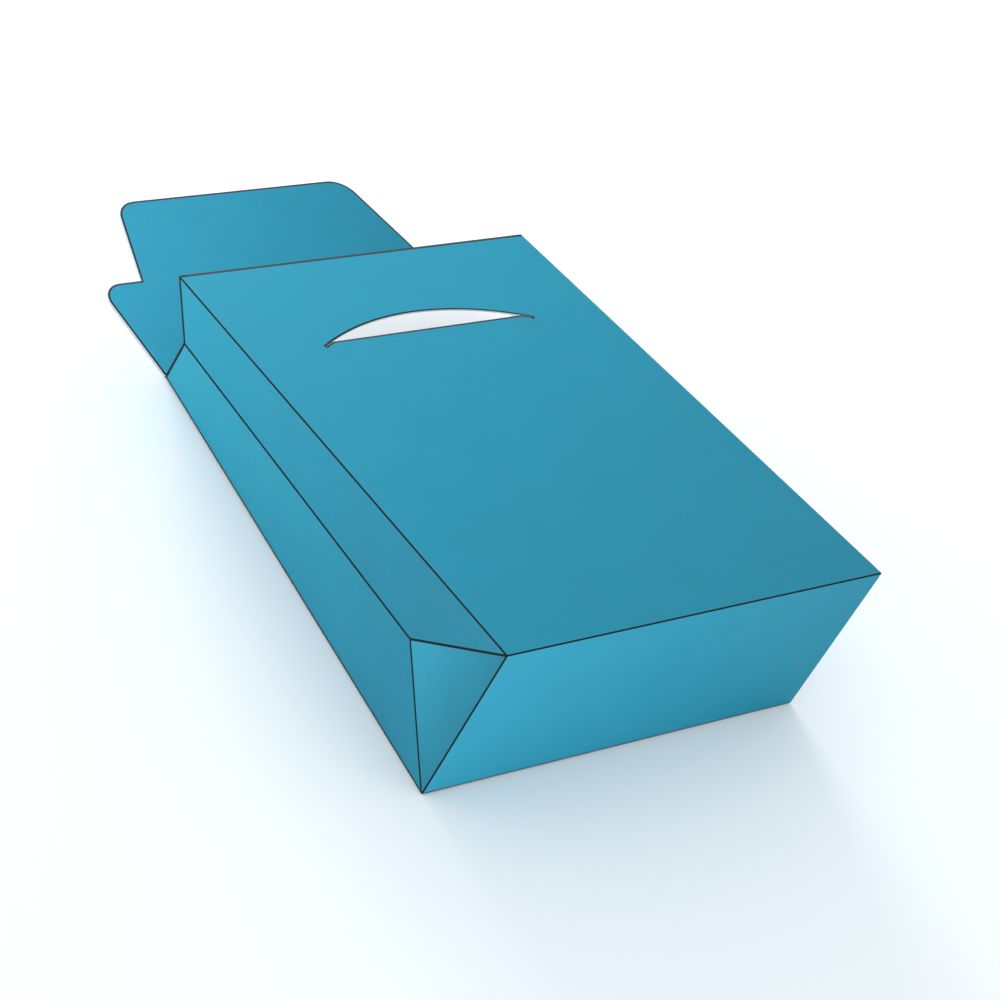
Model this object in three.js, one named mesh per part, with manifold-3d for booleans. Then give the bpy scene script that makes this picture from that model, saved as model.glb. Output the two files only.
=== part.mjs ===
// A gable bag of carton board, lying on its back with its closing flap open and flat.
// Millimetres, +Z up. X runs along the bottom's length and +Y from the bottom to the mouth and the flap.
// The origin is the middle of the whole footprint, on the plane that the back panel and the flap lie on.

import * as THREE from "three";
import Module from "manifold-3d";

const wasm = await Module();
wasm.setup();

// The board, and the cut that parts the flap from the back panel along their shared crease
const BOARD = 0.6;
const CREASE_GAP = 0.3;

// The bag's body, measured over the outside of the board
const BOTTOM_LENGTH = 203;
const BOTTOM_DEPTH = 84.5;
const MOUTH_LENGTH = 188;
const MOUTH_DEPTH = 42.3;
const BACK_HEIGHT = 228;
const FRONT_HEIGHT = 249.5;

// Each side's gusset: where the bottom triangle's apex stands, from the bottom, the back and the side's fold
const APEX_HEIGHT = 45.8;
const APEX_LEVEL = 40.3;
const APEX_TUCK = 2.6;

// The closing flap: a band as wide as the mouth that spreads a little, two notches and a tapering tongue
const BAND_FLARE = 3.8;
const BAND_LENGTH = 54.5;
const SHOULDER_RADIUS = 10;
const NOTCH_WIDTH = 22.2;
const TONGUE_LENGTH = 47;
const TONGUE_TAPER = 12.9;
const TONGUE_RADIUS = 12;

// The tongue's slot: an arc cut over a straight cut that ends short of the arc's tips
const TONGUE_GRIP = 6.4;
const SLOT_CLEARANCE = 2.5;
const SLOT_RISE = 14;
const CHORD_RAISE = 2.2;
const SLIT_WIDTH = 0.8;

// Steps in a curve, and the share of a length that a cutter stands past what it cuts
const ARC_STEPS = 10;
const SLOT_STEPS = 28;
const FOLD_STEPS = 4;
const CUTTER_MARGIN = 2;

// Weight that keeps an inner corner steady where its panels lie nearly in one plane
const STEADY_WEIGHT = 1e-4;

const BOARD_BLUE = 0x3899b5;

const frontDrop = BOTTOM_DEPTH - MOUTH_DEPTH;
const frontReach = Math.sqrt(FRONT_HEIGHT ** 2 - frontDrop ** 2);

function gussetCrease(backBottom, frontBottom, backMouth, frontMouth, apex) {
  // The two halves of a gusset are flat, so their shared crease is where their planes meet.
  const backHalf = new THREE.Vector3().crossVectors(
    backMouth.clone().sub(backBottom),
    apex.clone().sub(backBottom),
  );
  const frontHalf = new THREE.Vector3().crossVectors(
    frontMouth.clone().sub(frontBottom),
    apex.clone().sub(frontBottom),
  );
  const crease = new THREE.Vector3().crossVectors(backHalf, frontHalf);
  const run = (backMouth.y - apex.y) / crease.y;
  return apex.clone().addScaledVector(crease, run);
}

function sideCorners(side) {
  // side is -1 for the left and 1 for the right
  const backBottom = new THREE.Vector3((side * BOTTOM_LENGTH) / 2, 0, 0);
  const frontBottom = new THREE.Vector3((side * BOTTOM_LENGTH) / 2, 0, BOTTOM_DEPTH);
  const backMouth = new THREE.Vector3((side * MOUTH_LENGTH) / 2, BACK_HEIGHT, 0);
  const frontMouth = new THREE.Vector3((side * MOUTH_LENGTH) / 2, frontReach, MOUTH_DEPTH);
  const apex = backBottom.clone().lerp(backMouth, APEX_HEIGHT / BACK_HEIGHT);
  apex.x -= side * APEX_TUCK;
  apex.z = APEX_LEVEL;
  const creaseMouth = gussetCrease(backBottom, frontBottom, backMouth, frontMouth, apex);
  return [backBottom, frontBottom, backMouth, frontMouth, apex, creaseMouth];
}

// Corners of the left side come first. Each one of the right side follows its fellow RIGHT places later.
const leftCorners = sideCorners(-1);
const outerCorners = [...leftCorners, ...sideCorners(1)];
const [BACK_BOTTOM, FRONT_BOTTOM, BACK_MOUTH, FRONT_MOUTH, APEX, CREASE_MOUTH] = leftCorners.keys();
const RIGHT = leftCorners.length;

const leftPanels = [
  [BACK_BOTTOM, FRONT_BOTTOM, APEX],
  [BACK_BOTTOM, APEX, CREASE_MOUTH, BACK_MOUTH],
  [FRONT_BOTTOM, FRONT_MOUTH, CREASE_MOUTH, APEX],
];
const rightPanels = leftPanels.map((panel) => panel.map((corner) => corner + RIGHT).reverse());
const backPanel = [BACK_BOTTOM, BACK_MOUTH, BACK_MOUTH + RIGHT, BACK_BOTTOM + RIGHT];
const frontPanel = [FRONT_BOTTOM, FRONT_BOTTOM + RIGHT, FRONT_MOUTH + RIGHT, FRONT_MOUTH];
const bottomPanel = [BACK_BOTTOM, BACK_BOTTOM + RIGHT, FRONT_BOTTOM + RIGHT, FRONT_BOTTOM];
const panels = [backPanel, frontPanel, bottomPanel, ...leftPanels, ...rightPanels];

// The mouth's edge, once round, and the fold that runs up to each of its corners
const mouthEdge = [
  BACK_MOUTH,
  BACK_MOUTH + RIGHT,
  CREASE_MOUTH + RIGHT,
  FRONT_MOUTH + RIGHT,
  FRONT_MOUTH,
  CREASE_MOUTH,
];
const foldBelow = new Map([
  [BACK_MOUTH, BACK_BOTTOM],
  [FRONT_MOUTH, FRONT_BOTTOM],
  [CREASE_MOUTH, APEX],
]);

function outwardNormal(panel) {
  const [a, b, c] = panel.map((corner) => outerCorners[corner]);
  return new THREE.Vector3().crossVectors(b.clone().sub(a), c.clone().sub(a)).normalize();
}

function addRule(matrix, direction, weight) {
  // Adds weight * direction * direction^T to a symmetric 3 by 3 matrix.
  const e = matrix.elements;
  const d = direction.toArray();
  for (let row = 0; row < 3; row += 1) {
    for (let column = 0; column < 3; column += 1) {
      e[column * 3 + row] += weight * d[row] * d[column];
    }
  }
}

function innerCorner(corner) {
  // The point one board thickness behind every panel that meets at this corner, by least squares.
  // At the mouth the board is cut square to the fold that runs up to the corner.
  const normals = panels.filter((panel) => panel.includes(corner)).map(outwardNormal);
  const mean = normals.reduce((sum, normal) => sum.add(normal), new THREE.Vector3()).normalize();
  const rules = new THREE.Matrix3().set(0, 0, 0, 0, 0, 0, 0, 0, 0);
  const target = new THREE.Vector3();
  for (const normal of normals) {
    addRule(rules, normal, 1);
    target.addScaledVector(normal, -BOARD);
  }
  for (const axis of [new THREE.Vector3(1, 0, 0), new THREE.Vector3(0, 1, 0), new THREE.Vector3(0, 0, 1)]) {
    addRule(rules, axis, STEADY_WEIGHT);
  }
  target.addScaledVector(mean, -BOARD * STEADY_WEIGHT);
  const below = foldBelow.get(corner % RIGHT);
  if (below !== undefined) {
    const side = corner - (corner % RIGHT);
    const fold = outerCorners[corner].clone().sub(outerCorners[below + side]).normalize();
    addRule(rules, fold, 1);
  }
  return target.applyMatrix3(rules.invert()).add(outerCorners[corner]);
}

function foldedShell() {
  // Outer skin, inner skin and the board's edge round the mouth, as one closed surface.
  const inner = outerCorners.length;
  const corners = [...outerCorners, ...outerCorners.map((point, corner) => innerCorner(corner))];
  const faces = [];
  for (const panel of panels) {
    for (let step = 1; step < panel.length - 1; step += 1) {
      const [a, b, c] = [panel[0], panel[step], panel[step + 1]];
      faces.push([a, b, c]);
      faces.push([a + inner, c + inner, b + inner]);
    }
  }
  mouthEdge.forEach((corner, place) => {
    const next = mouthEdge[(place + 1) % mouthEdge.length];
    faces.push([corner, corner + inner, next]);
    faces.push([next, corner + inner, next + inner]);
  });
  return new wasm.Manifold(
    new wasm.Mesh({
      numProp: 3,
      vertProperties: new Float32Array(corners.flatMap((point) => point.toArray())),
      triVerts: new Uint32Array(faces.flat()),
    }),
  );
}

function toSolid(geometry) {
  // Merges the vertices of a closed three.js geometry and hands it over for joining and cutting.
  const position = geometry.getAttribute("position");
  const order = geometry.index ? Array.from(geometry.index.array) : [...Array(position.count).keys()];
  const seen = new Map();
  const points = [];
  const triVerts = order.map((vertex) => {
    const point = [position.getX(vertex), position.getY(vertex), position.getZ(vertex)];
    const key = point.map((value) => value.toFixed(5)).join(",");
    if (!seen.has(key)) {
      seen.set(key, seen.size);
      points.push(...point);
    }
    return seen.get(key);
  });
  return new wasm.Manifold(
    new wasm.Mesh({
      numProp: 3,
      vertProperties: new Float32Array(points),
      triVerts: new Uint32Array(triVerts),
    }),
  );
}

function toGeometry(solid) {
  const { vertProperties, triVerts } = solid.getMesh();
  const geometry = new THREE.BufferGeometry();
  geometry.setAttribute("position", new THREE.BufferAttribute(vertProperties, 3));
  geometry.setIndex(new THREE.BufferAttribute(triVerts, 1));
  geometry.computeVertexNormals();
  return geometry;
}

function foldRounding(start, end, panelA, panelB) {
  // What a fold's outside loses: the sliver between a sharp corner and an arc of the board's thickness.
  const along = outerCorners[end].clone().sub(outerCorners[start]);
  const overrun = CUTTER_MARGIN * BOARD;
  const length = along.length() + 2 * overrun;
  along.normalize();
  const normalA = outwardNormal(panelA);
  const normalB = outwardNormal(panelB);
  const bend = normalA.angleTo(normalB);
  const outward = normalA.clone().add(normalB).normalize();
  const across = new THREE.Vector3().crossVectors(outward, along);
  const tip = BOARD / Math.cos(bend / 2);
  const shape = new THREE.Shape();
  shape.moveTo(0, tip * CUTTER_MARGIN);
  const sweepStart = Math.PI / 2 + bend / 2;
  const sweepEnd = Math.PI / 2 - bend / 2;
  shape.lineTo(-Math.tan(bend / 2) * BOARD * CUTTER_MARGIN, tip * CUTTER_MARGIN);
  shape.absarc(0, 0, BOARD, sweepStart, sweepEnd, true);
  shape.lineTo(Math.tan(bend / 2) * BOARD * CUTTER_MARGIN, tip * CUTTER_MARGIN);
  const cutter = new THREE.ExtrudeGeometry(shape, {
    depth: length,
    bevelEnabled: false,
    curveSegments: FOLD_STEPS,
  });
  const place = new THREE.Matrix4().makeBasis(across, outward, along);
  place.setPosition(
    outerCorners[start].clone().addScaledVector(outward, -tip).addScaledVector(along, -overrun),
  );
  cutter.applyMatrix4(place);
  return toSolid(cutter);
}

function foldCutters() {
  const sides = [
    [0, leftPanels],
    [RIGHT, rightPanels],
  ];
  const cutters = [
    foldRounding(BACK_BOTTOM, BACK_BOTTOM + RIGHT, backPanel, bottomPanel),
    foldRounding(FRONT_BOTTOM, FRONT_BOTTOM + RIGHT, bottomPanel, frontPanel),
  ];
  for (const [side, [triangle, backHalf, frontHalf]] of sides) {
    cutters.push(foldRounding(BACK_BOTTOM + side, FRONT_BOTTOM + side, bottomPanel, triangle));
    cutters.push(foldRounding(BACK_BOTTOM + side, BACK_MOUTH + side, backPanel, backHalf));
    cutters.push(foldRounding(FRONT_BOTTOM + side, FRONT_MOUTH + side, frontPanel, frontHalf));
  }
  return cutters;
}

const flapLength = BAND_LENGTH + TONGUE_LENGTH;
const bandHalf = MOUTH_LENGTH / 2 + BAND_FLARE;
const tongueRootHalf = bandHalf - NOTCH_WIDTH;
const tongueEndHalf = tongueRootHalf - TONGUE_TAPER;

function slotCutter() {
  // Drawn flat on the front panel: x along the mouth's edge and y from the slot's tips towards the mouth.
  const halfSpan = tongueEndHalf - TONGUE_GRIP;
  const radius = (halfSpan ** 2 + SLOT_RISE ** 2) / (2 * SLOT_RISE);
  const centreY = SLOT_RISE - radius;
  const innerRadius = radius - SLIT_WIDTH;
  const tipAngle = Math.asin(halfSpan / radius);
  const chordAngle = Math.acos((CHORD_RAISE - centreY) / innerRadius);
  const up = Math.PI / 2;
  const shape = new THREE.Shape();
  shape.absarc(0, centreY, radius, up + tipAngle, up - tipAngle, true);
  shape.absarc(0, centreY, innerRadius, up - tipAngle, up - chordAngle, false);
  shape.absarc(0, centreY, innerRadius, up + chordAngle, up + tipAngle, false);
  const cutter = new THREE.ExtrudeGeometry(shape, {
    depth: 2 * CUTTER_MARGIN * BOARD,
    bevelEnabled: false,
    curveSegments: SLOT_STEPS,
  });
  cutter.translate(0, 0, -CUTTER_MARGIN * BOARD);

  // Folded round the mouth, the flap's end reaches this far down the front panel.
  const closingReach = Math.hypot(frontReach - BACK_HEIGHT, MOUTH_DEPTH);
  const slotDrop = flapLength - closingReach + SLOT_CLEARANCE;
  const alongX = new THREE.Vector3(1, 0, 0);
  const towardsMouth = new THREE.Vector3(0, frontReach, -frontDrop).normalize();
  const outward = new THREE.Vector3().crossVectors(alongX, towardsMouth);
  const place = new THREE.Matrix4().makeBasis(alongX, towardsMouth, outward);
  place.setPosition(new THREE.Vector3(0, frontReach, MOUTH_DEPTH).addScaledVector(towardsMouth, -slotDrop));
  cutter.applyMatrix4(place);
  return toSolid(cutter);
}

function bodyGeometry() {
  const cutters = [...foldCutters(), slotCutter()];
  const body = cutters.reduce((solid, cutter) => solid.subtract(cutter), foldedShell());
  return toGeometry(body);
}

function roundedShape(corners) {
  // A closed outline through [x, y, radius] corners, each rounded by its radius. The first is a rounded one.
  const shape = new THREE.Shape();
  corners.forEach(([x, y, radius], place) => {
    if (radius === 0) {
      shape.lineTo(x, y);
      return;
    }
    const corner = new THREE.Vector2(x, y);
    const before = corners.at(place - 1);
    const after = corners[(place + 1) % corners.length];
    const toBefore = new THREE.Vector2(before[0] - x, before[1] - y).normalize();
    const toAfter = new THREE.Vector2(after[0] - x, after[1] - y).normalize();
    const half = Math.acos(toBefore.dot(toAfter)) / 2;
    const centre = toBefore.clone().add(toAfter).setLength(radius / Math.sin(half)).add(corner);
    const tangent = radius / Math.tan(half);
    const first = corner.clone().addScaledVector(toBefore, tangent).sub(centre);
    const last = corner.clone().addScaledVector(toAfter, tangent).sub(centre);
    const clockwise = toBefore.cross(toAfter) > 0;
    shape.absarc(centre.x, centre.y, radius, first.angle(), last.angle(), clockwise);
  });
  return shape;
}

function flapGeometry() {
  // Drawn flat from the crease: y runs from the crease to the tongue's end.
  const rightSide = [
    [tongueEndHalf, flapLength, TONGUE_RADIUS],
    [tongueRootHalf, BAND_LENGTH, 0],
    [bandHalf, BAND_LENGTH, SHOULDER_RADIUS],
    [MOUTH_LENGTH / 2, CREASE_GAP, 0],
  ];
  const leftSide = rightSide.map(([x, y, radius]) => [-x, y, radius]).reverse();
  return new THREE.ExtrudeGeometry(roundedShape([...rightSide, ...leftSide]), {
    depth: BOARD,
    bevelEnabled: false,
    curveSegments: ARC_STEPS,
  });
}

function boardMaterial() {
  return new THREE.MeshStandardMaterial({ color: BOARD_BLUE, roughness: 0.55, metalness: 0 });
}

const footprintMiddle = (BACK_HEIGHT + flapLength) / 2;

const bagBody = new THREE.Mesh(bodyGeometry(), boardMaterial());
bagBody.name = "bag_body";
bagBody.position.y = -footprintMiddle;

const topFlap = new THREE.Mesh(flapGeometry(), boardMaterial());
topFlap.name = "top_flap";
topFlap.position.y = BACK_HEIGHT - footprintMiddle;

const gableBag = new THREE.Group();
gableBag.name = "gable_bag";
gableBag.add(bagBody, topFlap);

export default gableBag;
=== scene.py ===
# A teal carton gable bag lying on its back on a pale floor, with its closing flap open and flat.
# Sizes are in millimetres as on the real bag and turned into metres by MM. Points are in the row frame.

import math

import bmesh
import bpy
from mathutils import Matrix, Vector
from mathutils.geometry import delaunay_2d_cdt


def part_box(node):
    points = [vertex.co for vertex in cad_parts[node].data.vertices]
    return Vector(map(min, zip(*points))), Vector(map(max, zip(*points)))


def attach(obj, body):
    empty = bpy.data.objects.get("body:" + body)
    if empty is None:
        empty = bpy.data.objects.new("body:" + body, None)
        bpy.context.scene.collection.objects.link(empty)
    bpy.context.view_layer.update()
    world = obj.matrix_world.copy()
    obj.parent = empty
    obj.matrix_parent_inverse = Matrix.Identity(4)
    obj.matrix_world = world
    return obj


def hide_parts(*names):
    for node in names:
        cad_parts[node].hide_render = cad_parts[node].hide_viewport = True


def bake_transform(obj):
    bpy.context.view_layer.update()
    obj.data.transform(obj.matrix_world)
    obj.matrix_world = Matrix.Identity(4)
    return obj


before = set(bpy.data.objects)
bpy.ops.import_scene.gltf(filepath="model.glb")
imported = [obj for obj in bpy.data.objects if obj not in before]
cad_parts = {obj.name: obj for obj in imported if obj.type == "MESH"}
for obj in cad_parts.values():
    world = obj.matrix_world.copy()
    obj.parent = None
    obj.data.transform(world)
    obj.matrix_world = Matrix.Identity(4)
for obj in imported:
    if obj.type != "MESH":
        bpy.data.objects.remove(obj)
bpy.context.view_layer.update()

MM = 0.001

# Points closer than TOUCH count as one in the plane, and those closer than WELD are joined in a sheet
TOUCH = 0.001 * MM
WELD = 0.01 * MM

# The folded board, measured over its outside. The apex is the inner tip of each side's triangle
BOARD = 0.6 * MM
BOTTOM_LENGTH = 203 * MM
BOTTOM_DEPTH = 84.5 * MM
MOUTH_LENGTH = 188 * MM
MOUTH_DEPTH = 42.3 * MM
BACK_HEIGHT = 228 * MM
FRONT_HEIGHT = 249.5 * MM
APEX_HEIGHT = 45.8 * MM
APEX_LEVEL = 40.3 * MM
APEX_TUCK = 2.6 * MM

# The closing flap
CREASE_GAP = 0.3 * MM
CREASE_STEPS = 4
BAND_FLARE = 3.8 * MM
BAND_LENGTH = 54.5 * MM
SHOULDER_RADIUS = 10 * MM
NOTCH_WIDTH = 22.2 * MM
TONGUE_LENGTH = 47 * MM
TONGUE_TAPER = 12.9 * MM
TONGUE_RADIUS = 12 * MM
FLAP_LENGTH = BAND_LENGTH + TONGUE_LENGTH

# The tongue's slot
TONGUE_GRIP = 6.4 * MM
SLOT_CLEARANCE = 2.5 * MM
SLOT_RISE = 14 * MM
CHORD_RAISE = 2.2 * MM
SLIT_WIDTH = 0.15 * MM

# A fold's arc: how far it reaches on either side of the sharp fold, and its steps on each side
FOLD_REACH = 0.7 * MM
FOLD_STEPS = 4

# The dark lines along the flap's edge, the mouth and the slot
FLAP_LINE_WIDTH = 1 * MM
MOUTH_LINE_WIDTH = 1.4 * MM
SLOT_LINE_WIDTH = 1 * MM

# The dark line beside a fold, painted crease shade, in steps of the fold's arc, wider beside the back panel
FOLD_SHADE_STEPS = 3
BACK_SHADE_STEPS = 6

# The mouth's line ends on the folds beside it, at this share of their reach
MOUTH_LINE_END = 0.6

# The unprinted margin beside the flap's crease, and how far its end slants in at the left
MARGIN_LENGTH = 17 * MM
MARGIN_TAPER = 21 * MM

# Mesh fineness: the grid, how far its points keep from an outline, and the filling's precision
GRID = 6 * MM
GRID_CLEARANCE = 0.45 * GRID
FILL_PRECISION = 1e-8

# The least share of its true reach that a mitred corner is worked out with, and the steps along each arc
MITRE_LIMIT = 0.4
ARC_STEPS = 10
SLOT_STEPS = 40
SLIT_STEPS = 3

# How far each panel's middle bows, and the largest angle that is shaded as smooth
FRONT_BOW = 0.5 * MM
SIDE_BOW = 0.25 * MM
BACK_BOW = -0.2 * MM
SMOOTH_ANGLE = math.radians(4)

# The camera, placed to match the drawing: angles in degrees, distances in metres, the focal length in
# picture widths and the sensor's width in millimetres
CAMERA_AZIMUTH = -54.1
CAMERA_ELEVATION = 38.904
CAMERA_ROLL = -30.538
CAMERA_DISTANCE = 1.5025
CAMERA_AIM = Vector((0.02778, -0.03154, 0))
CAMERA_FOCAL = 3.4831
CAMERA_SENSOR = 36
CAMERA_CLIP = 0.01

# Colours, in display values from 0 to 1: each kind of panel's blue at its light end and at its dark end. The
# run from light to dark across each panel is painted shade, and each kind's blues are set lighter or darker
# than the others' as painted light and shade
PANEL_BLUES_WITH_PAINTED_SHADE = {
    "front": ((0.04, 0.55, 0.66), (0.07, 0.47, 0.56)),
    "flap": ((0.14, 0.59, 0.71), (0.04, 0.46, 0.55)),
    "bottom": ((0.19, 0.67, 0.79), (0.04, 0.54, 0.64)),
    "front_gusset": ((0.17, 0.64, 0.75), (0.16, 0.54, 0.64)),
    "back_gusset": ((0.21, 0.66, 0.76), (0.18, 0.55, 0.65)),
    "triangle": ((0.22, 0.66, 0.77), (0.15, 0.52, 0.61)),
    "back": ((0.15, 0.60, 0.71), (0.12, 0.51, 0.61)),
}
# The dark line's colour, also used as painted crease shade along every fold
LINE_AND_CREASE_SHADE_COLOUR = (0.03, 0.06, 0.08)
INSIDE_WHITE = (0.97, 0.975, 0.98)
EDGE_WHITE = (0.86, 0.9, 0.91)
FLOOR_COLOUR = (0.965, 0.98, 0.985)
SURROUND_COLOUR = (0.93, 0.965, 1, 1)
SURROUND_STRENGTH = 0.95

# The board's grain, from noise: short fibres, their finer tooth and the print's slow drift of shade,
# with how far the noise swings either side of its middle
FIBRE_SCALE = (900, 260, 900)
FIBRE_DETAIL = 3
FIBRE_SWING = 0.25
TOOTH_SCALE = 2600
TOOTH_DETAIL = 2
DRIFT_SCALE = 38
DRIFT_DETAIL = 3
DRIFT_SWING = 0.2
GRAIN_DEPTH = 0.02 * MM

# The print's finish, and the sheen of the unprinted board
PRINT_BUMP = 0.35
PRINT_DRIFT = 0.05
PRINT_SPECKLE = 0.05
PRINT_ROUGHNESS = (0.48, 0.6)
PRINT_SPECULAR = 0.15
PLAIN_SPECULAR = 0.25

# The floor, which reaches well past the view just under the bag
FLOOR_HALF = 3
FLOOR_LEVEL = -0.2 * MM
FLOOR_ROUGHNESS = 0.9
FLOOR_SPECULAR = 0.1

front_drop = BOTTOM_DEPTH - MOUTH_DEPTH
front_reach = math.sqrt(FRONT_HEIGHT**2 - front_drop**2)
bottom_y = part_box("bag_body")[0].y
crease_y = bottom_y + BACK_HEIGHT


def linear(colour):
    """Display values to scene-linear ones, with an alpha of 1."""
    return tuple(((c + 0.055) / 1.055) ** 2.4 if c > 0.04045 else c / 12.92 for c in colour) + (1,)


def side_corners(side):
    """The six outer corners of one side of the bag; side is -1 for the left and 1 for the right."""
    back_bottom = Vector((side * BOTTOM_LENGTH / 2, 0, 0))
    front_bottom = Vector((side * BOTTOM_LENGTH / 2, 0, BOTTOM_DEPTH))
    back_mouth = Vector((side * MOUTH_LENGTH / 2, BACK_HEIGHT, 0))
    front_mouth = Vector((side * MOUTH_LENGTH / 2, front_reach, MOUTH_DEPTH))
    apex = back_bottom.lerp(back_mouth, APEX_HEIGHT / BACK_HEIGHT)
    apex += Vector((-side * APEX_TUCK, 0, APEX_LEVEL))
    back_half = (back_mouth - back_bottom).cross(apex - back_bottom)
    front_half = (front_mouth - front_bottom).cross(apex - front_bottom)
    crease = back_half.cross(front_half)
    crease_mouth = apex + crease * ((BACK_HEIGHT - apex.y) / crease.y)
    corners = {
        "back_bottom": back_bottom,
        "front_bottom": front_bottom,
        "back_mouth": back_mouth,
        "front_mouth": front_mouth,
        "apex": apex,
        "crease_mouth": crease_mouth,
    }
    prefix = "left_" if side < 0 else "right_"
    return {prefix + name: point + Vector((0, bottom_y, 0)) for name, point in corners.items()}


CORNERS = {**side_corners(-1), **side_corners(1)}


def side_panels(side):
    """One side's three gusset panels, each as its corners' names, anticlockwise from outside."""
    panels = {
        "triangle": ["back_bottom", "front_bottom", "apex"],
        "back_gusset": ["back_bottom", "apex", "crease_mouth", "back_mouth"],
        "front_gusset": ["front_bottom", "front_mouth", "crease_mouth", "apex"],
    }
    named = {}
    for panel, corners in panels.items():
        names = [f"{side}_{corner}" for corner in corners]
        named[f"{side}_{panel}"] = names if side == "left" else names[::-1]
    return named


PANELS = {
    "front": ["left_front_bottom", "right_front_bottom", "right_front_mouth", "left_front_mouth"],
    "back": ["left_back_bottom", "left_back_mouth", "right_back_mouth", "right_back_bottom"],
    "bottom": ["left_back_bottom", "right_back_bottom", "right_front_bottom", "left_front_bottom"],
    **side_panels("left"),
    **side_panels("right"),
}
OWNERS = {(names[i - 1], names[i]): panel for panel, names in PANELS.items() for i in range(len(names))}


def panel_normal(panel):
    """The outward normal of a flat panel."""
    a, b, c = (CORNERS[name] for name in PANELS[panel][:3])
    return (b - a).cross(c - a).normalized()


class Fold:
    """One of a panel's folded edges and the arc that rounds it. Bent inwards, its bend is negative."""

    def __init__(self, panel, neighbour, start, end):
        normal, other = panel_normal(panel), panel_normal(neighbour)
        self.into = normal.cross(CORNERS[end] - CORNERS[start]).normalized()
        self.middle = (normal + other).normalized()
        self.sideways = (self.into - self.middle * self.into.dot(self.middle)).normalized()
        self.bend = normal.angle(other) * (1 if other.dot(self.into) < 0 else -1)
        self.radius = FOLD_REACH / math.tan(self.bend / 2)
        # The painted crease shade beside a fold is wider beside the back panel
        line_steps = BACK_SHADE_STEPS if neighbour == "back" else FOLD_SHADE_STEPS
        self.line_width = FOLD_REACH * line_steps / FOLD_STEPS

    def rounded(self, distance):
        """How a point this far from the sharp fold moves onto the arc, and the arc's normal there."""
        turn = self.bend / 2 * distance / FOLD_REACH
        normal = self.middle * math.cos(turn) + self.sideways * math.sin(turn)
        centre = -self.middle * self.radius / math.cos(self.bend / 2)
        return centre + normal * self.radius - self.into * distance, normal


def panel_folds(panel):
    """The panel's edges in order: a fold, or None where the edge is the mouth's."""
    names = PANELS[panel]
    folds = []
    for place, start in enumerate(names):
        end = names[(place + 1) % len(names)]
        neighbour = OWNERS.get((end, start))
        folds.append(Fold(panel, neighbour, start, end) if neighbour else None)
    return folds


def corner_rounding(name):
    """How a corner moves where all its folds' arcs meet, and the normal there."""
    shift, normal = Vector(), Vector()
    for (start, end), panel in OWNERS.items():
        neighbour = OWNERS.get((end, start))
        if neighbour and name in (start, end):
            moved, turned = Fold(panel, neighbour, start, end).rounded(0)
            shift += moved / 2
            normal += turned / 2
    return shift, normal


def arc(centre, radius, start, end, steps):
    """Points along an arc in the plane, from one angle to another."""
    angles = [start + (end - start) * i / steps for i in range(steps + 1)]
    return [Vector((centre[0] + radius * math.cos(a), centre[1] + radius * math.sin(a))) for a in angles]


def rounded_outline(corners, steps):
    """A closed outline through (x, y, radius) corners, each rounded by an arc of its radius."""
    outline = []
    for place, (x, y, radius) in enumerate(corners):
        corner = Vector((x, y))
        if radius == 0:
            outline.append(corner)
            continue
        to_before = (Vector(corners[place - 1][:2]) - corner).normalized()
        to_after = (Vector(corners[(place + 1) % len(corners)][:2]) - corner).normalized()
        half = to_before.angle(to_after) / 2
        centre = corner + (to_before + to_after).normalized() * radius / math.sin(half)
        first = corner + to_before * radius / math.tan(half) - centre
        last = corner + to_after * radius / math.tan(half) - centre
        start = math.atan2(first.y, first.x)
        turn = first.angle_signed(last)
        outline.extend(arc(centre, radius, start, start - turn, steps))
    return outline


def resample(outline, spacing):
    """The same closed outline with its long stretches cut into steps of about spacing."""
    points = []
    for place, a in enumerate(outline):
        b = outline[(place + 1) % len(outline)]
        steps = max(1, round((b - a).length / spacing))
        points.extend(a.lerp(b, i / steps) for i in range(steps))
    return points


def inset(outline, distance):
    """A closed anticlockwise outline moved inwards by a distance, with mitred corners."""
    moved = []
    for place, point in enumerate(outline):
        before = (point - outline[place - 1]).normalized()
        after = (outline[(place + 1) % len(outline)] - point).normalized()
        normal = Vector((-(before.y + after.y), before.x + after.x)).normalized()
        share = max(MITRE_LIMIT, normal.dot(Vector((-after.y, after.x))))
        moved.append(point + normal * distance / share)
    return moved


def is_inside(point, outline):
    """Whether a point lies in a closed outline."""
    inside = False
    for place, a in enumerate(outline):
        b = outline[place - 1]
        if (a.y > point.y) != (b.y > point.y):
            if point.x < (b.x - a.x) * (point.y - a.y) / (b.y - a.y) + a.x:
                inside = not inside
    return inside


def near(point, outline, distance):
    """Whether a point lies closer to a closed outline than a distance."""
    for place, a in enumerate(outline):
        span = outline[place - 1] - a
        share = max(0, min(1, (point - a).dot(span) / max(span.length_squared, TOUCH**2)))
        if (point - a - span * share).length < distance:
            return True
    return False


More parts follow.
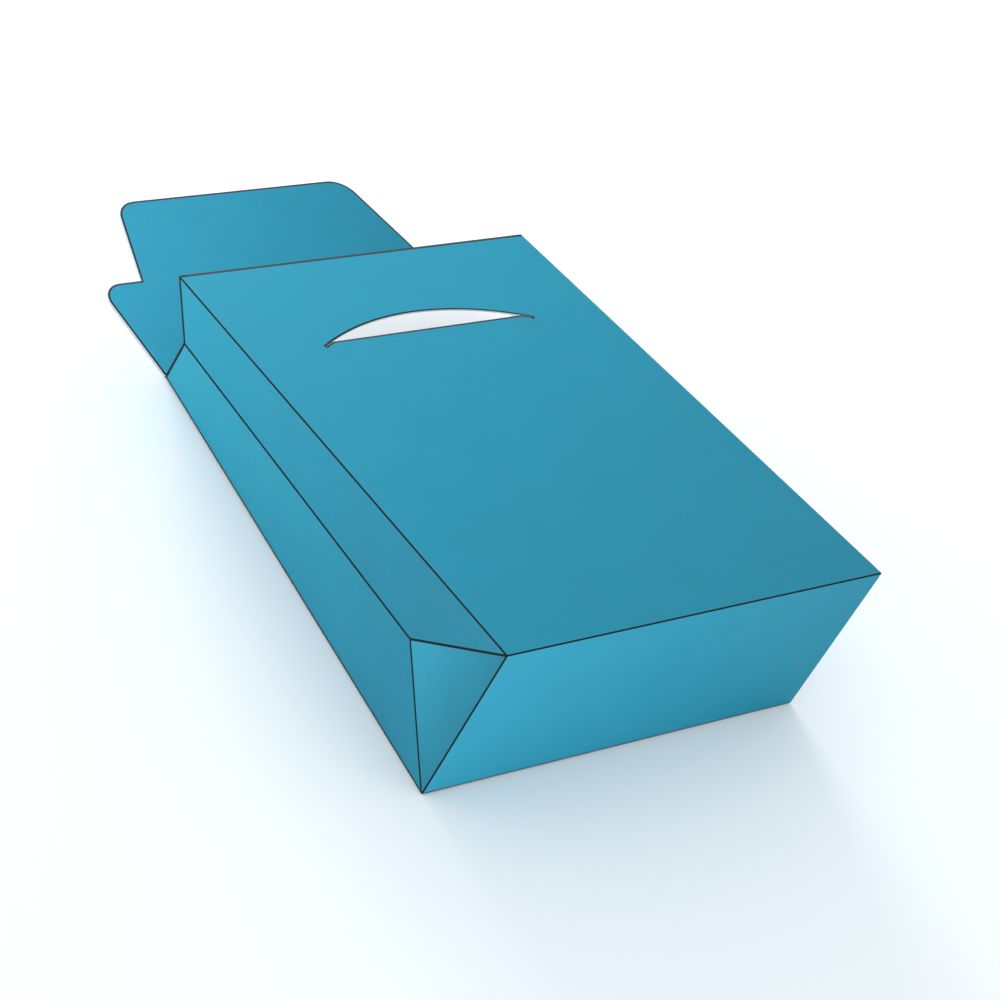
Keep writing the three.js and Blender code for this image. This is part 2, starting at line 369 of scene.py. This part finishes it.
def fill(outline, holes, lines):
    """Triangles that fill an outline round its holes, with a grid of points inside for bowing.

    holes and lines are closed outlines; lines only mark where triangles must part. Slivers between
    border points that lie almost on one line are left out.
    """
    loops = [outline, *holes, *lines]
    points = [point for loop in loops for point in loop]
    edges = []
    first = 0
    for loop in loops:
        edges.extend((first + i, first + (i + 1) % len(loop)) for i in range(len(loop)))
        first += len(loop)
    low = Vector((min(p.x for p in outline), min(p.y for p in outline)))
    high = Vector((max(p.x for p in outline), max(p.y for p in outline)))
    columns = max(2, round((high.x - low.x) / GRID))
    rows = max(2, round((high.y - low.y) / GRID))
    for i in range(1, columns):
        for j in range(1, rows):
            spot = Vector((low.x + (high.x - low.x) * i / columns, low.y + (high.y - low.y) * j / rows))
            if is_inside(spot, outline) and not any(near(spot, loop, GRID_CLEARANCE) for loop in loops):
                points.append(spot)
    filled = delaunay_2d_cdt(points, edges, [], 0, FILL_PRECISION)
    triangles = []
    for face in filled[2]:
        a, b, c = (filled[0][v] for v in face)
        middle = (a + b + c) / 3
        is_sliver = abs((b - a).cross(c - a)) < TOUCH * (c - a).length
        in_hole = any(is_inside(middle, hole) for hole in holes)
        if is_inside(middle, outline) and not in_hole and not is_sliver:
            triangles.append((face, middle))
    return filled[0], triangles


class Sheet:
    """A folded sheet in the making: its outer skin, with each vertex's place on the inner skin."""

    def __init__(self, name, materials):
        self.name = name
        self.materials = materials
        self.slots = {material.name: place for place, material in enumerate(materials)}
        self.mesh = bmesh.new()
        self.behind = self.mesh.verts.layers.float_vector.new("behind")

    def add(self, place, points, triangles, pick):
        """Adds filled triangles. place gives a point's place on both skins, and pick a material's name."""
        verts = []
        for point in points:
            outer, inner = place(point)
            vert = self.mesh.verts.new(outer)
            vert[self.behind] = inner
            verts.append(vert)
        for face, middle in triangles:
            made = self.mesh.faces.new([verts[v] for v in face])
            made.material_index = self.slots[pick(middle)]

    def finish(self, inner_name, rim_name):
        """Joins the panels, adds the inner skin and the cut edge, and returns the object."""
        mesh = self.mesh
        loose = [vert for vert in mesh.verts if not vert.link_faces]
        bmesh.ops.delete(mesh, geom=loose, context="VERTS")
        bmesh.ops.remove_doubles(mesh, verts=mesh.verts, dist=WELD)
        faces = list(mesh.faces)
        cut = []
        for face in faces:
            rim = [loop for loop in face.loops if loop.edge.is_boundary]
            cut.extend((loop.vert, loop.link_loop_next.vert) for loop in rim)
        inner_of = {vert: mesh.verts.new(vert[self.behind]) for vert in list(mesh.verts)}
        for face in faces:
            made = mesh.faces.new([inner_of[vert] for vert in reversed(face.verts)])
            made.material_index = self.slots[inner_name]
        for a, b in cut:
            made = mesh.faces.new((b, a, inner_of[a], inner_of[b]))
            made.material_index = self.slots[rim_name]
        sharpen(mesh)
        data = bpy.data.meshes.new(self.name)
        mesh.to_mesh(data)
        mesh.free()
        for material in self.materials:
            data.materials.append(material)
        piece = bpy.data.objects.new(self.name, data)
        bpy.context.scene.collection.objects.link(piece)
        return piece


def sharpen(mesh):
    """Smooth shading along each bowed panel, with a clean break at every fold and cut edge."""
    for face in mesh.faces:
        face.smooth = True
    for edge in mesh.edges:
        faces = edge.link_faces
        edge.smooth = len(faces) == 2 and faces[0].normal.angle(faces[1].normal, 0) < SMOOTH_ANGLE


def node(tree, kind, inputs=None, **settings):
    """A new shader node with its settings, and its inputs set or linked."""
    made = tree.nodes.new(kind)
    for name, value in settings.items():
        setattr(made, name, value)
    for name, value in (inputs or {}).items():
        if isinstance(value, bpy.types.NodeSocket):
            tree.links.new(value, made.inputs[name])
        else:
            made.inputs[name].default_value = value
    return made


def new_material(name):
    """An empty node material and its shader."""
    material = bpy.data.materials.new(name)
    material.use_nodes = True
    return material, material.node_tree, material.node_tree.nodes["Principled BSDF"]


def noise(tree, place, scale, detail):
    """Noise over a place, as a value."""
    return node(tree, "ShaderNodeTexNoise", {"Vector": place, "Scale": scale, "Detail": detail}).outputs[0]


def fibre_bump(tree, place, strength):
    """Fine paper grain, short fibres crossed by a finer tooth, as a normal and the fibres' own value."""
    stretched = node(tree, "ShaderNodeMapping", {"Vector": place, "Scale": FIBRE_SCALE})
    fibres = noise(tree, stretched.outputs[0], 1, FIBRE_DETAIL)
    tooth = noise(tree, place, TOOTH_SCALE, TOOTH_DETAIL)
    both = node(tree, "ShaderNodeMath", {0: fibres, 1: tooth}, operation="ADD")
    relief = {"Strength": strength, "Distance": GRAIN_DEPTH, "Height": both.outputs[0]}
    return node(tree, "ShaderNodeBump", relief).outputs[0], fibres


def spread(tree, value, swing, low, high):
    """Maps a noise value, from swing below 0.5 to swing above it, onto low to high."""
    ends = {"From Min": 0.5 - swing, "From Max": 0.5 + swing, "To Min": low, "To Max": high}
    return node(tree, "ShaderNodeMapRange", {"Value": value, **ends}).outputs[0]


def board_material(name, kind, painted_light_at, painted_shade_at):
    """Printed carton board whose blue deepens from one point of the panel to another: painted shade, lighter
    at the first point and darker at the second.
    """
    light, dark = (linear(blue) for blue in PANEL_BLUES_WITH_PAINTED_SHADE[kind])
    material, tree, shader = new_material(name)
    place = node(tree, "ShaderNodeTexCoord").outputs["Object"]
    # The share along the run from the first point to the second sets the painted shade
    run = painted_shade_at - painted_light_at
    offset = node(tree, "ShaderNodeVectorMath", {0: place, 1: painted_light_at}, operation="SUBTRACT")
    along = {0: offset.outputs[0], 1: run / run.length_squared}
    share = node(tree, "ShaderNodeVectorMath", along, operation="DOT_PRODUCT")
    grain, fibres = fibre_bump(tree, place, PRINT_BUMP)
    cloud = noise(tree, place, DRIFT_SCALE, DRIFT_DETAIL)
    drift = spread(tree, cloud, DRIFT_SWING, -PRINT_DRIFT, PRINT_DRIFT)
    drifted = {0: share.outputs["Value"], 1: drift}
    shade = node(tree, "ShaderNodeMath", drifted, operation="ADD", use_clamp=True)
    mixed = {"Factor": shade.outputs[0], "A": light, "B": dark}
    blue = node(tree, "ShaderNodeMix", mixed, data_type="RGBA")
    speck = spread(tree, fibres, FIBRE_SWING, 1 - PRINT_SPECKLE, 1 + PRINT_SPECKLE)
    specked = {0: blue.outputs["Result"], 1: speck}
    print_with_painted_shade = node(tree, "ShaderNodeVectorMath", specked, operation="MULTIPLY")
    rough = spread(tree, fibres, FIBRE_SWING, *PRINT_ROUGHNESS)
    tree.links.new(print_with_painted_shade.outputs[0], shader.inputs["Base Color"])
    tree.links.new(rough, shader.inputs["Roughness"])
    tree.links.new(grain, shader.inputs["Normal"])
    shader.inputs["Specular IOR Level"].default_value = PRINT_SPECULAR
    return material


def plain_material(name, colour, roughness, speckle, bump):
    """Board of one colour, such as its white inside, its cut edge or the dark line along a fold, which is
    painted crease shade.
    """
    material, tree, shader = new_material(name)
    place = node(tree, "ShaderNodeTexCoord").outputs["Object"]
    grain, fibres = fibre_bump(tree, place, bump)
    speck = spread(tree, fibres, FIBRE_SWING, 1 - speckle, 1 + speckle)
    tint = node(tree, "ShaderNodeVectorMath", {0: linear(colour)[:3], 1: speck}, operation="MULTIPLY")
    tree.links.new(tint.outputs[0], shader.inputs["Base Color"])
    tree.links.new(grain, shader.inputs["Normal"])
    shader.inputs["Roughness"].default_value = roughness
    shader.inputs["Specular IOR Level"].default_value = PLAIN_SPECULAR
    return material


def panel_material(panel, painted_light_corners, painted_shade_corners):
    """Board for one panel, with painted light between some named corners and painted shade between others.
    """
    painted_light_at = sum((CORNERS[c] for c in painted_light_corners), Vector()) / len(painted_light_corners)
    painted_shade_at = sum((CORNERS[c] for c in painted_shade_corners), Vector()) / len(painted_shade_corners)
    kind = panel.removeprefix("left_").removeprefix("right_")
    return board_material(f"board_{panel}", kind, painted_light_at, painted_shade_at)


def body_materials():
    """One material for each panel: its print with painted shade."""
    made = [
        panel_material("front", ["left_front_mouth"], ["right_front_bottom"]),
        panel_material("bottom", ["left_front_bottom"], ["right_back_bottom"]),
        panel_material("back", ["left_back_mouth"], ["right_back_bottom"]),
    ]
    for side in ("left", "right"):
        ends = [f"{side}_back_bottom", f"{side}_front_bottom"]
        made.append(panel_material(f"{side}_triangle", [f"{side}_apex"], ends))
        made.append(panel_material(f"{side}_back_gusset", [f"{side}_back_mouth"], [f"{side}_apex"]))
        made.append(panel_material(f"{side}_front_gusset", [f"{side}_front_mouth"], [f"{side}_apex"]))
    return made


def shared_materials():
    """The dark line, which is painted shade along the folds and a plain dark line along cut edges, the white
    inside and the cut edge.
    """
    return [
        plain_material("board_line", LINE_AND_CREASE_SHADE_COLOUR, roughness=0.7, speckle=0.1, bump=0.3),
        plain_material("board_inside", INSIDE_WHITE, roughness=0.75, speckle=0.015, bump=0.5),
        plain_material("board_edge", EDGE_WHITE, roughness=0.85, speckle=0.06, bump=0.8),
    ]


SHARED = shared_materials()


def slot_outline():
    """The slot in the front panel's plane: x along the mouth, y from the tips towards the mouth."""
    band_half = MOUTH_LENGTH / 2 + BAND_FLARE
    half_span = band_half - NOTCH_WIDTH - TONGUE_TAPER - TONGUE_GRIP
    radius = (half_span**2 + SLOT_RISE**2) / (2 * SLOT_RISE)
    centre = (0, SLOT_RISE - radius)
    inner = radius - SLIT_WIDTH
    tip = math.asin(half_span / radius)
    chord = math.acos((CHORD_RAISE - centre[1]) / inner)
    up = math.pi / 2
    outline = arc(centre, inner, up + chord, up + tip, SLIT_STEPS)
    outline += arc(centre, radius, up + tip, up - tip, SLOT_STEPS)
    outline += arc(centre, inner, up - tip, up - chord, SLIT_STEPS)
    return list(reversed(outline))


def edge_points(a, b):
    """Points along an edge from one named corner to another, the same from either side."""
    if a > b:
        return list(reversed(edge_points(b, a)))
    start, end = CORNERS[a], CORNERS[b]
    steps = max(2, round((end - start).length / GRID))
    return [start.lerp(end, i / steps) for i in range(steps + 1)]


def side_distances(point, corners):
    """How far inside each side of a convex anticlockwise outline a point lies."""
    distances = []
    for place, a in enumerate(corners):
        side = (corners[(place + 1) % len(corners)] - a).normalized()
        distances.append(side.x * (point.y - a.y) - side.y * (point.x - a.x))
    return distances


def moved_sides(corners, depths):
    """The corners of a convex anticlockwise outline with each side moved inwards by its own depth."""
    moved = []
    for place, corner in enumerate(corners):
        before = (corner - corners[place - 1]).normalized().orthogonal()
        after = (corners[(place + 1) % len(corners)] - corner).normalized().orthogonal()
        turn = before.cross(after)
        shift = (before * depths[place] - after * depths[place - 1]).orthogonal() / turn
        moved.append(corner + shift)
    return moved


class Panel:
    """One panel of the bag: its plane, its corners there, its folds and how far its middle bows."""

    def __init__(self, name, bow):
        self.name = name
        self.bow = bow
        self.corner_names = PANELS[name]
        self.folds = panel_folds(name)
        self.origin = CORNERS[self.corner_names[0]]
        self.across = (CORNERS[self.corner_names[1]] - self.origin).normalized()
        self.outward = panel_normal(name)
        self.up = self.outward.cross(self.across)
        self.corners = [self.flat(CORNERS[corner]) for corner in self.corner_names]
        distances = [side_distances(corner, self.corners) for corner in self.corners]
        self.reaches = [max(side) for side in zip(*distances)]

    def flat(self, point):
        """Where a point of the row frame lies in the panel's plane."""
        offset = point - self.origin
        return Vector((offset.dot(self.across), offset.dot(self.up)))

    def outline(self):
        """The panel's outline with sharp folds, and the same points along each as its neighbour has."""
        points = []
        for place, name in enumerate(self.corner_names):
            following = self.corner_names[(place + 1) % len(self.corner_names)]
            points.extend(self.flat(point) for point in edge_points(name, following)[:-1])
        return points

    def line(self, fold_depth, mouth_depth):
        """A closed line at one depth from the panel's folds and at another from its mouth edge."""
        depths = [fold_depth if fold else mouth_depth for fold in self.folds]
        return resample(moved_sides(self.corners, depths), GRID)

    def lines(self):
        """The closed lines where triangles must part: the steps along the folds and the mouth's line."""
        lines = [self.line(FOLD_REACH * step / FOLD_STEPS, -GRID) for step in range(1, BACK_SHADE_STEPS + 1)]
        if None in self.folds:
            lines.append(self.line(FOLD_REACH * MOUTH_LINE_END, MOUTH_LINE_WIDTH))
        return lines

    def is_line(self, point):
        """Whether a plane point lies in the dark line along a fold, painted crease shade, or along the
        mouth.
        """
        widths = [fold.line_width if fold else MOUTH_LINE_WIDTH for fold in self.folds]
        return any(distance < width for distance, width in zip(side_distances(point, self.corners), widths))

    def bow_share(self, distances):
        """The share of its bow that the panel has at a point: none at its edges, all in its middle."""
        share = 1
        for distance, reach in zip(distances, self.reaches):
            share *= math.sin(math.pi / 2 * min(1, max(0, 2 * distance / reach)))
        return share

    def rounding(self, point, distances):
        """How a plane point moves where a corner or a fold is rounded, and the normal there."""
        for name, corner in zip(self.corner_names, self.corners):
            if (point - corner).length < TOUCH and not name.endswith("mouth"):
                return corner_rounding(name)
        arcs = [fold.rounded(max(0, d)) for fold, d in zip(self.folds, distances) if fold and d < FOLD_REACH]
        if not arcs:
            return Vector(), self.outward
        return sum((shift for shift, _ in arcs), Vector()), sum((normal for _, normal in arcs), Vector())

    def to_skins(self, point):
        """A plane point's places on the outer and the inner skin."""
        distances = side_distances(point, self.corners)
        shift, normal = self.rounding(point, distances)
        outer = self.origin + self.across * point.x + self.up * point.y
        outer += self.outward * self.bow_share(distances) * self.bow
        outer += shift
        return outer, outer - normal.normalized() * BOARD


def add_panel(sheet, panel, holes):
    """Fills one panel round its holes, with a dark line round each hole, and adds it to a sheet."""
    hole_lines = [inset(hole, -SLOT_LINE_WIDTH) for hole in holes]
    points, triangles = fill(panel.outline(), holes, panel.lines() + hole_lines)

    def pick(middle):
        if panel.is_line(middle) or any(is_inside(middle, line) for line in hole_lines):
            return "board_line"
        return f"board_{panel.name}"

    sheet.add(panel.to_skins, points, triangles, pick)


def slot_in(panel):
    """The slot's outline in the front panel's plane, as far from the mouth as the closing flap reaches."""
    towards_mouth = Vector((0, front_reach, -front_drop)).normalized()
    closing_reach = math.hypot(front_reach - BACK_HEIGHT, MOUTH_DEPTH)
    slot_drop = FLAP_LENGTH - closing_reach + SLOT_CLEARANCE
    mouth_middle = (CORNERS["left_front_mouth"] + CORNERS["right_front_mouth"]) / 2
    middle = mouth_middle - towards_mouth * slot_drop
    aside = Vector((1, 0, 0))
    return [panel.flat(middle + aside * point.x + towards_mouth * point.y) for point in slot_outline()]


def make_body():
    """The folded bag: all its panels as one sheet."""
    sheet = Sheet("bag_shell", body_materials() + SHARED)
    bows = {"front": FRONT_BOW, "back": BACK_BOW, "bottom": -SIDE_BOW}
    for name in PANELS:
        panel = Panel(name, bows.get(name, SIDE_BOW))
        holes = [slot_in(panel)] if name == "front" else []
        add_panel(sheet, panel, holes)
    return sheet.finish("board_inside", "board_edge")


def flap_outline():
    """The flap from its crease: x across the bag, y from the crease to the tongue's end."""
    band_half = MOUTH_LENGTH / 2 + BAND_FLARE
    root_half = band_half - NOTCH_WIDTH
    end_half = root_half - TONGUE_TAPER
    right = [
        (MOUTH_LENGTH / 2, CREASE_GAP, 0),
        (band_half, BAND_LENGTH, SHOULDER_RADIUS),
        (root_half, BAND_LENGTH, 0),
        (end_half, FLAP_LENGTH, TONGUE_RADIUS),
    ]
    left = [(-x, y, radius) for x, y, radius in reversed(right)]
    return rounded_outline(right + left, ARC_STEPS)


def make_flap():
    """The closing flap, flat on the floor, with its inside face up."""
    # The flap's blues run as painted shade, from light at the band's far left to dark at the crease's right
    # end
    lit = Vector((-MOUTH_LENGTH / 2, crease_y + BAND_LENGTH, BOARD))
    shaded = Vector((MOUTH_LENGTH / 2, crease_y, BOARD))
    materials = [board_material("board_flap", "flap", lit, shaded)]
    materials.append(board_material("board_flap_outside", "back", lit, shaded))
    sheet = Sheet("closing_flap", materials + SHARED)
    outline = resample(flap_outline(), GRID)
    ring = inset(outline, FLAP_LINE_WIDTH)
    half = MOUTH_LENGTH / 2
    past = half + 2 * BAND_FLARE
    margin = [
        Vector((-half, 0)),
        Vector((past, 0)),
        Vector((past, MARGIN_LENGTH)),
        Vector((-half + MARGIN_TAPER, MARGIN_LENGTH)),
    ]
    points, triangles = fill(outline, [], [ring, margin])

    def to_skins(point):
        top = Vector((point.x, crease_y + point.y, BOARD))
        return top, top - Vector((0, 0, BOARD))

    def pick(middle):
        if is_inside(middle, margin):
            return "board_inside"
        if not is_inside(middle, ring):
            return "board_line"
        return "board_flap"

    sheet.add(to_skins, points, triangles, pick)
    return sheet.finish("board_flap_outside", "board_edge")


def make_crease():
    """The board across the crease, in steps across the gap between the back panel and the flap."""
    half = MOUTH_LENGTH / 2
    ring = [(-half, BOARD), (half, BOARD), (half, 0), (-half, 0)]
    rows = []
    mesh = bmesh.new()
    for step in range(CREASE_STEPS + 1):
        y = crease_y + CREASE_GAP * step / CREASE_STEPS
        rows.append([mesh.verts.new((x, y, z)) for x, z in ring])
    line, inside, edge = range(len(SHARED))
    # The crease's underside takes the dark line: painted crease shade along the fold
    finishes = [inside, edge, line, edge]
    for before, after in zip(rows, rows[1:]):
        for side, finish in enumerate(finishes):
            turn = (side + 1) % len(finishes)
            face = mesh.faces.new((before[side], before[turn], after[turn], after[side]))
            face.material_index = finish
    mesh.faces.new(reversed(rows[0]))
    mesh.faces.new(rows[-1])
    bmesh.ops.recalc_face_normals(mesh, faces=mesh.faces)
    data = bpy.data.meshes.new("flap_crease")
    mesh.to_mesh(data)
    mesh.free()
    for material in SHARED:
        data.materials.append(material)
    piece = bpy.data.objects.new("flap_crease", data)
    bpy.context.scene.collection.objects.link(piece)
    return piece


def make_floor():
    """A pale floor."""
    data = bpy.data.meshes.new("floor")
    sides = [(-1, -1), (1, -1), (1, 1), (-1, 1)]
    corners = [(x * FLOOR_HALF, y * FLOOR_HALF, FLOOR_LEVEL) for x, y in sides]
    data.from_pydata(corners, [], [(0, 1, 2, 3)])
    floor = bpy.data.objects.new("floor", data)
    bpy.context.scene.collection.objects.link(floor)
    material, _, shader = new_material("floor_paint")
    shader.inputs["Base Color"].default_value = linear(FLOOR_COLOUR)
    shader.inputs["Roughness"].default_value = FLOOR_ROUGHNESS
    shader.inputs["Specular IOR Level"].default_value = FLOOR_SPECULAR
    data.materials.append(material)


def camera_axes():
    """The picture's right, down and forward directions in the row frame."""
    azimuth, elevation, roll = (math.radians(a) for a in (CAMERA_AZIMUTH, CAMERA_ELEVATION, CAMERA_ROLL))
    back = Vector((
        math.sin(azimuth) * math.cos(elevation),
        -math.cos(azimuth) * math.cos(elevation),
        math.sin(elevation),
    ))
    forward = -back
    level_right = forward.cross(Vector((0, 0, 1))).normalized()
    level_down = forward.cross(level_right)
    right = math.cos(roll) * level_right + math.sin(roll) * level_down
    down = -math.sin(roll) * level_right + math.cos(roll) * level_down
    return right, down, forward


def make_camera():
    """The camera that looks at the bag as the drawing does."""
    right, down, forward = camera_axes()
    data = bpy.data.cameras.new("camera")
    data.sensor_width = CAMERA_SENSOR
    data.lens = CAMERA_FOCAL * CAMERA_SENSOR
    data.clip_start = CAMERA_CLIP
    camera = bpy.data.objects.new("camera", data)
    turn = Matrix((right, -down, -forward)).transposed().to_4x4()
    camera.matrix_world = Matrix.Translation(CAMERA_AIM - forward * CAMERA_DISTANCE) @ turn
    bpy.context.scene.collection.objects.link(camera)
    bpy.context.scene.camera = camera


def area_light(name, at, aim, size, power):
    """A square lamp with its place and aim in metres, its side in metres and its power in watts."""
    data = bpy.data.lights.new(name, "AREA")
    data.shape = "SQUARE"
    data.size = size
    data.energy = power
    light = bpy.data.objects.new(name, data)
    light.location = at
    light.rotation_euler = (Vector(aim) - Vector(at)).to_track_quat("-Z", "Y").to_euler()
    bpy.context.scene.collection.objects.link(light)


def make_lights():
    """An even pale surround with a broad key from the upper left and a soft fill into the mouth."""
    world = bpy.data.worlds.new("surround")
    world.use_nodes = True
    background = world.node_tree.nodes["Background"]
    background.inputs["Color"].default_value = SURROUND_COLOUR
    background.inputs["Strength"].default_value = SURROUND_STRENGTH
    bpy.context.scene.world = world
    area_light("key", at=(-3, 1, 4), aim=(0, 0, 0), size=3, power=24)
    area_light("mouth_fill", at=(0.2, 1.4, 0.35), aim=(0, 0.06, 0.02), size=0.8, power=18)


make_camera()
make_lights()
make_floor()

body = make_body()
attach(body, "bag")
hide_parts("bag_body")

flap = make_flap()
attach(flap, "flap")
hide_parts("top_flap")

crease = make_crease()
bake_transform(crease)

bpy.context.scene.view_settings.view_transform = "Standard"
